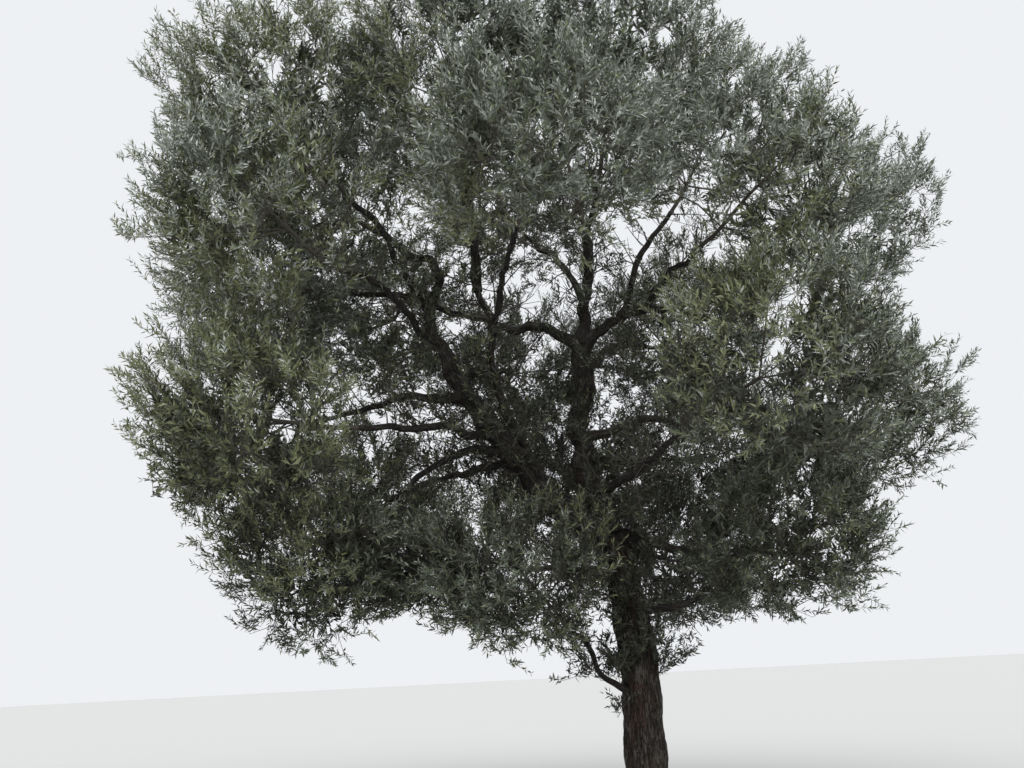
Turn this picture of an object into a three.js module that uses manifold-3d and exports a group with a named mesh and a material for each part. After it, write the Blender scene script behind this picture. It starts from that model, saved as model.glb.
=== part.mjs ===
// A mature olive tree rooted in level ground, in millimetres with +Z up.
// The origin is the centre of the flat cut at ground level. +X is the viewer's right and +Y points away.
// Trunk, boughs and masses of foliage are separate closed solids that meet with a hair's gap.
import * as THREE from "three";
import { mergeVertices } from "three/addons/utils/BufferGeometryUtils.js";
import Module from "manifold-3d";

const wasm = await Module();
wasm.setup();

// Driving dimensions
const JOINT_GAP = 0.3; // clear space where one solid meets the next
const LIMB_CLEARANCE = 12; // the least space between foliage and a limb that passes it
const CROWN_AXIS = { x: -950, y: 0 }; // the crown is heavier on the side that the trunk leans to
const CROWN_HEART = new THREE.Vector3(-950, 0, 4600); // bare boughs only round this place
const CROWN_FLATNESS = 0.86; // height of a mass over its width
const CELL_MARGIN = 22; // half the space kept free between two masses
const LOWEST_LEAF = 1250; // no foliage hangs lower than this
const FLARE_HEIGHT = 520; // the trunk widens into its roots below this height
const FLARE_SPREAD = 95; // how far the root flare stands out at ground level
const FLARE_LOBES = 5; // root swellings round the foot
const TRUNK_SIDES = 14;
const LIMB_SIDES = 9;
const BOUGH_SIDES = 6;
const STEM_SIDES = 5;
const TWIG_SIDES = 3;
const RING_SPACING = 500; // length of limb between two rings of vertices

// Each leaf blade stands for one leafy spray, so it is far larger than a real leaf.
const SPRAY = { length: 1050, width: 400, thickness: 24 };
const SPRAY_PLACES = [0.985, 0.82, 0.65, 0.48]; // where on its twig a spray starts, the first at the tip
const SPRAY_ANGLE = 48; // degrees between a side spray and its twig
const SPRAY_SIZES = [1.15, 1, 0.87, 0.75, 0.65, 0.56]; // tried in turn until one fits
const TARGETS_PER_MASS = 6; // places on a mass that a twig may grow to
const TWIG_REACH = [0.42, 0.64]; // how far out of its mass a twig ends, as shares of the reach
const STEM_ENTRY = 0.8; // a bough ends no farther than this share of the reach from its mass's centre
const STEM_END = 0.1; // the stem ends this share of the reach short of the centre
const STEM_TAPER = 0.7; // girth of a stem's end over its root
const STEM_KNOTS = [0.4, 0.6, 0.8, 1]; // where on a stem a twig may start
const TWIG_TAPER = 0.7;
const TWIG_GIRTH = 0.55; // girth of a twig's root over that of what carries it
const THINNEST_TWIG = 8;
const BACKTRACK_COST = 0.45; // how much a twig prefers to start near the foot of its mass
const BARE_SIDE = -0.55; // no twig grows where a mass faces the heart of the crown more than this
const GOLDEN_ANGLE = Math.PI * (3 - Math.sqrt(5));

const BARK = { color: 0x4b4238, roughness: 0.95, metalness: 0 };
const FOLIAGE = { color: 0x5d6851, roughness: 0.7, metalness: 0 };

// The limbs that show between the leaves, each by the few points that it passes through.
// "on" is the limb that it leaves and "at" the share of that limb's length, 1 being its tip.
const mainLimbs = [
  { name: "trunk", via: [[0, 0, -80], [5, 0, 800], [0, 0, 1650], [-130, -10, 2640], [-360, 0, 3240]],
    radius: [228, 180] },
  { name: "left_limb", on: "trunk", at: 0.975,
    via: [[-690, -30, 3440], [-1320, -150, 3980], [-1600, -200, 4400], [-1960, -250, 5010]],
    radius: [165, 96] },
  { name: "leader", on: "trunk", at: 0.93,
    via: [[-440, 60, 3620], [-455, 120, 4400], [-400, 180, 5120], [-350, 200, 5400]],
    radius: [136, 108] },
  { name: "pruned_stub", on: "trunk", at: 0.9, via: [[-50, -70, 2985], [210, -160, 2930], [630, -260, 2800]],
    radius: [56, 47] },
];

// Every bough carries one mass at its tip. The mass is placed by its heading round the crown's axis
// (0 is the viewer's right, 90 is away), its distance out, its height and its reach.
// "via" gives the points of a bough that shows, and "lift" arches one that doesn't.
const boughs = [
  { name: "centre", on: "leader", at: 0.985, radius: [74, 34], via: [[-310, 220, 5860], [-170, 260, 6600]],
    heading: 23, out: 600, height: 7950, reach: 1400 },
  { name: "left_crossing", on: "leader", at: 0.985, radius: [64, 30],
    via: [[-830, 270, 5640], [-1680, 380, 5840], [-2280, 430, 6150]],
    heading: 169, out: 3450, height: 6550, reach: 1400 },
  { name: "right", on: "leader", at: 0.985, radius: [66, 30],
    via: [[120, 220, 5750], [1070, 250, 5890], [1640, 260, 6060]],
    heading: 3, out: 3850, height: 6850, reach: 1350 },
  { name: "middle", on: "left_limb", at: 0.3, radius: [58, 28],
    via: [[-1200, -220, 4200], [-1460, -280, 5300], [-1570, -250, 6080]],
    heading: 200, out: 950, height: 8050, reach: 1400 },
  { name: "upper_left", on: "left_limb", at: 0.985, radius: [76, 34],
    via: [[-2110, -270, 5490], [-2180, -300, 6350]],
    heading: 172, out: 2780, height: 7700, reach: 1450 },
  { name: "curled", on: "left_limb", at: 0.96, radius: [66, 30],
    via: [[-1770, 60, 4960], [-1520, 480, 5230]],
    heading: 93, out: 3100, height: 5850, reach: 1350 },
  { name: "lower_left", on: "left_limb", at: 0.52, radius: [48, 26],
    via: [[-1760, -230, 4060], [-2160, -330, 3860]],
    heading: 197, out: 2500, height: 2950, reach: 1250 },
  { name: "right_low", on: "trunk", at: 0.66, radius: [56, 28],
    via: [[320, -60, 2250], [640, -100, 2240]],
    heading: 346, out: 2600, height: 3000, reach: 1300 },
  { name: "slender_left", on: "trunk", at: 0.4, radius: [38, 20],
    via: [[-390, -100, 1470], [-600, -140, 1840]],
    heading: 250, out: 1000, height: 2650, reach: 1100 },
  { name: "low_left", on: "trunk", at: 0.8, radius: [44, 24],
    via: [[-560, -60, 2700], [-1100, -100, 2680]],
    heading: 175, out: 1500, height: 3050, reach: 1150 },

  { name: "top_front_left", on: "upper_left", at: 0.3, radius: [46, 28], lift: 0.08,
    heading: 214, out: 3180, height: 7700, reach: 1450 },
  { name: "top_front", on: "middle", at: 0.72, radius: [42, 26], lift: 0.04,
    heading: 250, out: 2200, height: 7800, reach: 1400 },
  { name: "top_front_right", on: "centre", at: 0.2, radius: [46, 28], lift: 0.1,
    heading: 297, out: 2050, height: 7700, reach: 1450 },
  { name: "top_right", on: "right", at: 0.24, radius: [44, 28], lift: 0.08,
    heading: 357, out: 2350, height: 7950, reach: 1400 },
  { name: "top_back", on: "centre", at: 0.4, radius: [48, 28], lift: 0.06,
    heading: 100, out: 1900, height: 8050, reach: 1300 },
  { name: "high_front", on: "middle", at: 0.55, radius: [40, 24], lift: 0.02,
    heading: 271, out: 3200, height: 6250, reach: 1300 },
  { name: "high_front_right", on: "right", at: 0.35, radius: [44, 26], lift: 0.05,
    heading: 317, out: 3180, height: 6250, reach: 1400 },
  { name: "high_front_left", on: "upper_left", at: 0.15, radius: [46, 28], lift: 0.1,
    heading: 219, out: 3500, height: 6250, reach: 1400 },
  { name: "high_back_left", on: "left_crossing", at: 0.72, radius: [42, 26], lift: 0.08,
    heading: 129, out: 3400, height: 6600, reach: 1450 },
  { name: "high_back_right", on: "leader", at: 0.82, radius: [52, 28], lift: 0.1,
    heading: 46, out: 3250, height: 6150, reach: 1450 },
  { name: "side_right", on: "leader", at: 0.5, radius: [56, 28], lift: 0.05,
    heading: 5, out: 3700, height: 4500, reach: 1450 },
  { name: "side_front_right", on: "leader", at: 0.2, radius: [54, 28], lift: -0.04,
    heading: 310, out: 3300, height: 4200, reach: 1480 },
  { name: "side_front_left", on: "left_limb", at: 0.62, radius: [54, 28], lift: 0.03,
    heading: 213, out: 3400, height: 4150, reach: 1400 },
  { name: "side_left", on: "left_limb", at: 0.85, radius: [56, 28], lift: 0.06,
    heading: 175, out: 3400, height: 4600, reach: 1400 },
  { name: "side_back_left", on: "left_limb", at: 0.42, radius: [54, 28], lift: 0.05,
    heading: 135, out: 3550, height: 4000, reach: 1450 },
  { name: "side_back", on: "leader", at: 0.3, radius: [54, 28], lift: 0.05,
    heading: 84, out: 3100, height: 4000, reach: 1400 },
  { name: "side_back_right", on: "leader", at: 0.4, radius: [54, 28], lift: -0.03,
    heading: 48, out: 3650, height: 4350, reach: 1450 },
  { name: "low_back_right", on: "trunk", at: 0.83, radius: [48, 26], lift: 0.08,
    heading: 42, out: 2700, height: 2950, reach: 1250 },
];

const group = new THREE.Group();

// One repeatable stream of numbers from 0 to 1 for each mass.
function seededStream(seed) {
  let state = seed >>> 0;
  return () => {
    state = (state + 0x6d2b79f5) >>> 0;
    let t = state;
    t = Math.imul(t ^ (t >>> 15), t | 1);
    t ^= t + Math.imul(t ^ (t >>> 7), t | 61);
    return ((t ^ (t >>> 14)) >>> 0) / 4294967296;
  };
}

// A three.js geometry as a closed solid.
function solidOf(geometry) {
  const bare = geometry.clone();
  for (const name of Object.keys(bare.attributes)) if (name !== "position") bare.deleteAttribute(name);
  const merged = mergeVertices(bare, 1e-3);
  return new wasm.Manifold(
    new wasm.Mesh({
      numProp: 3,
      vertProperties: merged.attributes.position.array,
      triVerts: new Uint32Array(merged.index.array),
    }),
  );
}

// The solid back as a geometry for a mesh.
function geometryOf(solid) {
  const mesh = solid.getMesh();
  return new THREE.BufferGeometry()
    .setAttribute("position", new THREE.BufferAttribute(mesh.vertProperties, 3))
    .setIndex(new THREE.BufferAttribute(mesh.triVerts, 1));
}

// The largest body of a solid, without loose scraps and with any sealed hollow filled.
function largestBody(solid) {
  const bodies = solid.decompose();
  return bodies.reduce((best, body) => (body.volume() > best.volume() ? body : best));
}

function addNode(name, solid, look) {
  const mesh = new THREE.Mesh(geometryOf(solid), new THREE.MeshStandardMaterial(look));
  mesh.name = name;
  group.add(mesh);
}

// A round bar along a curve: a closed cylinder whose rings are moved on to the curve.
// radiusAt gives the radius for a share of the length, an angle round the bar and a height.
function barAlong(curve, sides, rings, radiusAt) {
  const geometry = new THREE.CylinderGeometry(1, 1, 1, sides, rings);
  const position = geometry.attributes.position;
  const frames = curve.computeFrenetFrames(rings, false);
  const points = Array.from({ length: rings + 1 }, (_, i) => curve.getPointAt(i / rings));
  const place = new THREE.Vector3();
  for (let i = 0; i < position.count; i++) {
    const share = 0.5 - position.getY(i);
    const ring = Math.round(share * rings);
    const x = position.getX(i);
    const z = position.getZ(i);
    const off = Math.hypot(x, z) > 0.5 ? radiusAt(share, Math.atan2(z, x), points[ring].z) : 0;
    const angle = Math.atan2(z, x);
    place
      .copy(points[ring])
      .addScaledVector(frames.normals[ring], Math.cos(angle) * off)
      .addScaledVector(frames.binormals[ring], Math.sin(angle) * off);
    position.setXYZ(i, place.x, place.y, place.z);
  }
  const solid = solidOf(geometry);
  return solid.volume() > 0 ? solid : solidOf(turnedInsideOut(geometry));
}

function turnedInsideOut(geometry) {
  const index = geometry.index.array;
  for (let i = 0; i < index.length; i += 3) [index[i + 1], index[i + 2]] = [index[i + 2], index[i + 1]];
  return geometry;
}

// Limbs

const limbs = new Map(); // by name, in the order that they grow

// Extra girth of the trunk's foot: swellings that die away upward.
function flare(height, angle) {
  const rise = Math.max(0, 1 - height / FLARE_HEIGHT);
  return FLARE_SPREAD * rise * rise * (1 + 0.45 * Math.cos(FLARE_LOBES * angle + 0.6));
}

// Every limb is kept in three sizes: itself, with a hair's gap round it, and with the room that foliage leaves.
function makeLimb(row, points, sides) {
  const rings = Math.max(2, Math.round(new THREE.CatmullRomCurve3(points).getLength() / RING_SPACING));
  const isTrunk = row.name === "trunk";
  const shape = (extra) => {
    const ends = points.map((p) => p.clone());
    ends.at(0).addScaledVector(ends[1].clone().sub(ends[0]).normalize(), -extra);
    ends.at(-1).addScaledVector(ends.at(-1).clone().sub(ends.at(-2)).normalize(), extra);
    const curve = new THREE.CatmullRomCurve3(ends, false, "catmullrom", 0.5);
    return barAlong(curve, sides, isTrunk ? Math.round(rings * 1.6) : rings, (share, angle, height) => {
      const round = THREE.MathUtils.lerp(row.radius[0], row.radius[1], share) + extra;
      return isTrunk ? round + flare(height, angle) : round;
    });
  };
  return {
    name: row.name,
    radius: row.radius,
    curve: new THREE.CatmullRomCurve3(points, false, "catmullrom", 0.5),
    solid: shape(0),
    sleeve: shape(JOINT_GAP * 1.4),
    grown: shape(LIMB_CLEARANCE),
  };
}

// A limb starts on the axis of the one that carries it and is cut back to that one's surface.
function addLimb(row, points, sides) {
  const limb = makeLimb(row, points, sides);
  for (const other of limbs.values()) limb.solid = limb.solid.subtract(other.sleeve);
  const whole = limb.solid.volume();
  limb.solid = largestBody(limb.solid).simplify(0.02);
  if (limb.solid.volume() < 0.97 * whole) console.log(row.name + " is cut by another limb");
  limbs.set(row.name, limb);
}

function rootPoint(row) {
  return limbs.get(row.on).curve.getPointAt(row.at);
}

for (const row of mainLimbs) {
  const via = row.via.map((p) => new THREE.Vector3(...p));
  addLimb(row, row.on ? [rootPoint(row), ...via] : via, row.on ? LIMB_SIDES : TRUNK_SIDES);
}

// The ground cuts the trunk off flat.
const ground = new THREE.BoxGeometry(4000, 4000, 1000).translate(0, 0, -500);
limbs.get("trunk").solid = limbs.get("trunk").solid.subtract(solidOf(ground));

// Masses of foliage: where each one is, and the space that it keeps to

const masses = boughs.map((row, i) => {
  const heading = THREE.MathUtils.degToRad(row.heading);
  const centre = new THREE.Vector3(
    CROWN_AXIS.x + row.out * Math.cos(heading),
    CROWN_AXIS.y + row.out * Math.sin(heading),
    row.height,
  );
  return { name: row.name, centre, reach: row.reach, draw: seededStream(101 + 37 * i) };
});

// Squared distance from a mass's centre less its squared reach, with heights stretched to make it a ball.
function depthIn(mass, point) {
  const up = (point.z - mass.centre.z) / CROWN_FLATNESS;
  const across = (point.x - mass.centre.x) ** 2 + (point.y - mass.centre.y) ** 2;
  return across + up * up - mass.reach ** 2;
}

// Whether a point lies in a mass's own space: inside its reach and on its side of every neighbour.
function keepsTo(mass, point) {
  const own = depthIn(mass, point);
  if (own > 0 || point.z < LOWEST_LEAF) return false;
  return masses.every((other) => {
    if (other === mass) return true;
    const apart = mass.centre.distanceTo(other.centre);
    return depthIn(other, point) - own > 2 * CELL_MARGIN * apart;
  });
}

// Where a bough that comes from a point ends: as soon as it is in the mass's own space.
function entryPoint(mass, from) {
  const inward = from.clone().sub(mass.centre).normalize();
  let share = STEM_ENTRY;
  while (share > 0.35 && !keepsTo(mass, mass.centre.clone().addScaledVector(inward, share * mass.reach)))
    share -= 0.03;
  return mass.centre.clone().addScaledVector(inward, share * mass.reach);
}

for (const [i, row] of boughs.entries()) {
  const start = rootPoint(row);
  const via = (row.via ?? []).map((p) => new THREE.Vector3(...p));
  const tip = entryPoint(masses[i], via.at(-1) ?? start);
  if (!via.length) {
    const arch = start.clone().lerp(tip, 0.5);
    arch.z += row.lift * start.distanceTo(tip);
    via.push(arch);
  }
  addLimb(row, [start, ...via, tip], BOUGH_SIDES);
}

// Stems: each goes on from its bough's tip to the heart of its mass.
const stems = new Map();
for (const [i, row] of boughs.entries()) {
  const bough = limbs.get(row.name);
  const along = bough.curve.getTangentAt(1);
  const tip = bough.curve.getPointAt(1);
  const heart = masses[i].centre.clone().addScaledVector(along, -STEM_END * masses[i].reach);
  const length = tip.distanceTo(heart);
  const points = [tip.clone().addScaledVector(along, -12), tip.clone().addScaledVector(along, length * 0.3), heart];
  const root = bough.radius[1] * 0.94;
  const stem = makeLimb({ name: row.name, radius: [root, root * STEM_TAPER] }, points, STEM_SIDES);
  for (const other of limbs.values()) stem.solid = stem.solid.subtract(other.sleeve);
  for (const other of stems.values()) stem.solid = stem.solid.subtract(other.sleeve);
  const whole = stem.solid.volume();
  stem.solid = largestBody(stem.solid);
  if (stem.solid.volume() < 0.97 * whole) console.log("the stem of " + row.name + " is cut by a limb");
  stem.length = length;
  stems.set(row.name, stem);
}

// Foliage

// A straight three-sided twig between two points.
function twigBetween(from, to, rootRadius, tipRadius) {
  const along = to.clone().sub(from);
  const geometry = new THREE.CylinderGeometry(tipRadius, rootRadius, along.length(), TWIG_SIDES, 1);
  const turn = new THREE.Quaternion().setFromUnitVectors(new THREE.Vector3(0, 1, 0), along.clone().normalize());
  geometry.applyQuaternion(turn).translate(...from.clone().addScaledVector(along, 0.5).toArray());
  return geometry;
}

// A thin eight-faced blade from its root towards a direction.
function blade(root, direction, roll, size) {
  const geometry = new THREE.OctahedronGeometry(1, 0);
  geometry.scale((size * SPRAY.width) / 2, (size * SPRAY.length) / 2, SPRAY.thickness / 2);
  geometry.rotateY(roll);
  const turn = new THREE.Quaternion().setFromUnitVectors(new THREE.Vector3(0, 1, 0), direction);
  geometry.applyQuaternion(turn);
  geometry.translate(...root.clone().addScaledVector(direction, (size * SPRAY.length) / 2).toArray());
  return geometry;
}

function cornersOf(geometry) {
  const position = geometry.attributes.position;
  return Array.from({ length: position.count }, (_, i) => new THREE.Vector3().fromBufferAttribute(position, i));
}

// The places that the twigs of a mass grow to, spread evenly round it on a golden spiral.
function twigTargets(mass, foot) {
  const turn = mass.draw() * 2 * Math.PI;
  const outward = mass.centre.clone().sub(CROWN_HEART).normalize();
  const targets = [];
  for (let k = 0; k < TARGETS_PER_MASS; k++) {
    const up = 1 - (2 * (k + 0.5)) / TARGETS_PER_MASS;
    const across = Math.sqrt(1 - up * up);
    const angle = k * GOLDEN_ANGLE + turn;
    const out = mass.reach * THREE.MathUtils.lerp(TWIG_REACH[0], TWIG_REACH[1], mass.draw());
    const offset = new THREE.Vector3(across * Math.cos(angle), across * Math.sin(angle), up * CROWN_FLATNESS);
    const target = mass.centre.clone().addScaledVector(offset, out);
    const facing = offset.dot(outward);
    if (facing > BARE_SIDE && keepsTo(mass, target)) targets.push(target);
  }
  return targets.sort((a, b) => a.distanceTo(foot) - b.distanceTo(foot));
}

// The twigs of a mass, each from the best place on the stem or on an earlier twig.
function growTwigs(mass, stem, isClear) {
  const starts = STEM_KNOTS.map((share) => ({
    point: stem.curve.getPointAt(share),
    travelled: share * stem.length,
    radius: THREE.MathUtils.lerp(stem.radius[0], stem.radius[1], share),
  }));
  const twigs = [];
  for (const target of twigTargets(mass, starts[0].point)) {
    const cost = (s) => s.point.distanceTo(target) + BACKTRACK_COST * s.travelled;
    const start = starts.reduce((best, s) => (cost(s) < cost(best) ? s : best));
    const rootRadius = Math.max(THINNEST_TWIG, start.radius * TWIG_GIRTH);
    const solid = solidOf(twigBetween(start.point, target, rootRadius, rootRadius * TWIG_TAPER));
    if (!isClear(solid)) continue;
    const length = start.point.distanceTo(target);
    twigs.push({ from: start.point, to: target, radius: rootRadius, solid });
    for (const share of [0.55, 0.97])
      starts.push({
        point: start.point.clone().lerp(target, share),
        travelled: start.travelled + length * share,
        radius: rootRadius * THREE.MathUtils.lerp(1, TWIG_TAPER, share),
      });
  }
  return twigs;
}

// The sprays of one twig: one goes on from its tip and the others stand round it.
function growSprays(mass, twig, fits) {
  const way = twig.to.clone().sub(twig.from).normalize();
  const outward = twig.to.clone().sub(mass.centre).normalize();
  const aside = new THREE.Vector3().crossVectors(way, new THREE.Vector3(0.31, 0.22, 0.93)).normalize();
  const turn = mass.draw() * 2 * Math.PI;
  const spread = THREE.MathUtils.degToRad(SPRAY_ANGLE);
  for (const [k, at] of SPRAY_PLACES.entries()) {
    const direction = way.clone();
    if (k > 0) {
      const side = aside.clone().applyAxisAngle(way, turn + k * GOLDEN_ANGLE);
      direction.multiplyScalar(Math.cos(spread)).addScaledVector(side, Math.sin(spread));
    }
    direction.addScaledVector(outward, 0.35).normalize();
    const sunk = twig.radius * 0.2;
    const root = twig.from.clone().lerp(twig.to, at).addScaledVector(direction, -sunk);
    const roll = mass.draw() * Math.PI;
    SPRAY_SIZES.some((size) => fits(blade(root, direction, roll, size), twig));
  }
}

function growMass(row, mass) {
  const stem = stems.get(row.name);
  const others = [...stems.values()].filter((s) => s !== stem);
  const limbsNear = wasm.Manifold.union([...limbs.values(), ...others].map((l) => l.grown));
  const isClear = (solid) => limbsNear.intersect(solid).isEmpty();
  const twigs = growTwigs(mass, stem, isClear);
  const sprays = [];
  const fits = (geometry, twig) => {
    if (!cornersOf(geometry).every((corner) => keepsTo(mass, corner))) return false;
    const solid = solidOf(geometry);
    const rest = [stem.solid, ...twigs.filter((t) => t !== twig).map((t) => t.solid), ...sprays];
    if (!isClear(solid) || !rest.every((r) => r.intersect(solid).isEmpty())) return false;
    sprays.push(solid);
    return true;
  };
  for (const twig of twigs) growSprays(mass, twig, fits);
  const pieces = [stem.solid, ...twigs.map((t) => t.solid), ...sprays];
  const whole = largestBody(wasm.Manifold.union(pieces)).simplify(0.05);
  return { solid: largestBody(whole), sprays: sprays.length };
}

for (const limb of limbs.values()) {
  const carriesFoliage = stems.has(limb.name);
  addNode(carriesFoliage ? "bough_" + limb.name : limb.name, limb.solid, BARK);
}
let sprayTotal = 0;
for (const [i, row] of boughs.entries()) {
  const grown = growMass(row, masses[i]);
  sprayTotal += grown.sprays;
  addNode("foliage_" + row.name, grown.solid, FOLIAGE);
}
console.log(sprayTotal + " sprays");

export default group;
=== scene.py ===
import math
import bpy
import numpy as np
from mathutils import Matrix, Vector, noise
from mathutils.kdtree import KDTree


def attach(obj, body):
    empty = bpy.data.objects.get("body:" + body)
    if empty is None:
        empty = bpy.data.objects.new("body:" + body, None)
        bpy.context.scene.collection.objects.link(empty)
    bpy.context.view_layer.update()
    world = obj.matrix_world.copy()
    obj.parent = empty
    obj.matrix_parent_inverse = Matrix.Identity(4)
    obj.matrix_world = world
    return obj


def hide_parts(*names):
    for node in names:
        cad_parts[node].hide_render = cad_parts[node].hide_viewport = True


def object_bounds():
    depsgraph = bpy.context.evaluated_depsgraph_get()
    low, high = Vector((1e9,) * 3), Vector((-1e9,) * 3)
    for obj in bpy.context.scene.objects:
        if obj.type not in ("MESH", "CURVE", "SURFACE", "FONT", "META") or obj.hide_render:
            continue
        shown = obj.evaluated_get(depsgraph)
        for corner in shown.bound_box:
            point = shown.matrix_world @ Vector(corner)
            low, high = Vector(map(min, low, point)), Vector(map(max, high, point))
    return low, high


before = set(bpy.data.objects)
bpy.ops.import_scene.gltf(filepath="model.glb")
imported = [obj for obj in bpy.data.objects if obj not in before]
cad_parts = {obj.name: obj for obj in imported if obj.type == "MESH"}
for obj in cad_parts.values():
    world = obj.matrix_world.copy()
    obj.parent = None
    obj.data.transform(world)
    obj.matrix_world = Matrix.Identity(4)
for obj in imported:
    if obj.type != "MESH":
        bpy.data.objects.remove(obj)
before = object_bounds()
bpy.ops.object.select_all(action="DESELECT")

# Trunk: a living olive trunk with grey-brown, fissured bark, reddish where it has flaked. It leans to the
# left, swells into its root flare and stands on a flat cut at ground level. Made as a tube of close rings
# on the same curve as the solid, with flutes, swellings and fissures moved into the surface.
# Limbs and masses are given in millimetres, as the solids are, and everything else in metres.
MM = 0.001
TRUNK_RADII = (228, 180)
TRUNK_POINTS = [(0, 0, -80), (5, 0, 800), (0, 0, 1650), (-130, -10, 2640), (-360, 0, 3240)]
TRUNK_SIDES, TRUNK_RINGS_APART = 96, 0.0145
FLARE_HEIGHT, FLARE_SPREAD, FLARE_LOBES, FLARE_LOBING, FLARE_TURN = 0.52, 0.095, 5, 0.45, 0.6
TIP_DOME = 0.12
# Flutes: how many go round, their height as a share of the radius, their turn in a metre, their shift.
FLUTES = [(3, 0.07, 0.9, 1), (5, 0.045, -1.7, 2)]
# Swellings: their height as a share of the radius, how many to a metre across, and what share of that along.
SWELLING, SWELLINGS, SWELLINGS_ALONG = 0.17, 5.5, 0.55
# Fissures: their depth, at most and as a share of the radius, how many to a metre across and along, and how
# steep their sides are. Fine ones add a share of the depth. The levels keep the bark at the limb's radius.
DEEPEST_FISSURE, FISSURE_SHARE, FISSURES, FISSURE_SLOPE = 0.02, 0.1, (24, 4.2), 3.2
FINE_SHARE, FINE_FISSURES = 0.35, (55, 11)
FISSURE_LEVEL, FINE_LEVEL = 0.75, 0.2
# The crack colour is the fissures' darker bark with painted shade in them.
TRUNK_COLOURS = {
    "crack_shade": (0.009, 0.007, 0.006),
    "plain": (0.040, 0.033, 0.027),
    "pale": (0.122, 0.110, 0.094),
    "warm": (0.085, 0.047, 0.032),
}


class Curve:
    """A smooth curve through its points that is walked by length, as the solids' curves are."""

    def __init__(self, points):
        p = np.array(points, float)
        self.control = np.vstack([2 * p[0] - p[1], p, 2 * p[-1] - p[-2]])
        self.steps = np.linspace(0, 1, 201)
        pieces = np.linalg.norm(np.diff(self.raw(self.steps), axis=0), axis=1)
        self.lengths = np.concatenate([[0], np.cumsum(pieces)])
        self.length = self.lengths[-1]

    def raw(self, t):
        n = len(self.control) - 3
        s = np.clip(np.asarray(t, float) * n, 0, n)
        i = np.minimum(s.astype(int), n - 1)
        w = (s - i)[..., None]
        a, b, c, d = (self.control[i + k] for k in range(4))
        start = 0.5 * (c - a)
        end = 0.5 * (d - b)
        return b + w * (start + w * (3 * (c - b) - 2 * start - end + w * (2 * (b - c) + start + end)))

    def at(self, share):
        return self.raw(np.interp(np.asarray(share) * self.length, self.lengths, self.steps))

    def tangent(self, share):
        step = self.at(min(share + 1e-4, 1)) - self.at(max(share - 1e-4, 0))
        return step / np.linalg.norm(step)


def unit(v):
    v = np.asarray(v, float)
    return v / np.maximum(np.linalg.norm(v, axis=-1, keepdims=True), 1e-12)


def mesh_object(name, verts, faces, materials, uvs=None, indices=None, smooth=True):
    """A joined mesh from arrays of corners and of faces that all have the same number of sides."""
    mesh = bpy.data.meshes.new(name)
    count, sides = faces.shape
    mesh.vertices.add(len(verts))
    mesh.vertices.foreach_set("co", np.ascontiguousarray(verts, dtype=np.float32).ravel())
    mesh.loops.add(count * sides)
    mesh.loops.foreach_set("vertex_index", np.ascontiguousarray(faces, dtype=np.int32).ravel())
    mesh.polygons.add(count)
    mesh.polygons.foreach_set("loop_start", np.arange(0, count * sides, sides, dtype=np.int32))
    if uvs is not None:
        layer = mesh.uv_layers.new(name="bark")
        layer.data.foreach_set("uv", np.ascontiguousarray(uvs, dtype=np.float32).ravel())
    if indices is not None:
        mesh.polygons.foreach_set("material_index", np.ascontiguousarray(indices, dtype=np.int32))
    mesh.polygons.foreach_set("use_smooth", np.full(count, smooth))
    for material in materials:
        mesh.materials.append(material)
    mesh.update(calc_edges=True)
    mesh.validate()
    piece = bpy.data.objects.new(name, mesh)
    bpy.context.scene.collection.objects.link(piece)
    return piece


def new_material(name):
    """A material, its nodes, their links and its shader."""
    material = bpy.data.materials.new(name)
    material.use_nodes = True
    tree = material.node_tree
    return material, tree.nodes, tree.links, tree.nodes["Principled BSDF"]


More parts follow.
